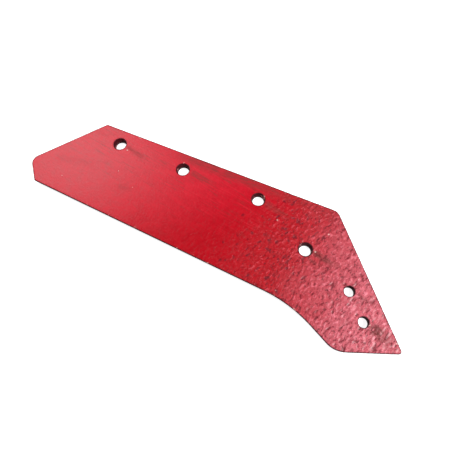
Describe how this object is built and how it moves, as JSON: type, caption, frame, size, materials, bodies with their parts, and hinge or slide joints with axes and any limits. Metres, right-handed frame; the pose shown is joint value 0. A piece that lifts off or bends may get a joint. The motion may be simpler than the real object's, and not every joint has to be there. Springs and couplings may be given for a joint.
{
  "type": "plough share",
  "caption": "Flat right-hand plough share blade with a straight bevelled cutting edge, a drawn-down toe and nose, and countersunk and plain bolt holes.",
  "frame": {"origin": "middle of the bounding box, on the flat back that the share lies on", "axes": "+X along the cutting edge towards the nose, +Y from the cutting edge to the joint edge that meets the mouldboard, +Z out of the front face"},
  "size_m": [0.5325, 0.1614, 0.01],
  "materials": {
    "red_enamel": "glossy deep red enamel over rolled steel, smooth at the wing and pebbled towards the nose, with dark smears behind the holes and small chips along the edges"
  },
  "bodies": {
    "root": {"share_blade": "red_enamel"}
  },
  "joints": []
}
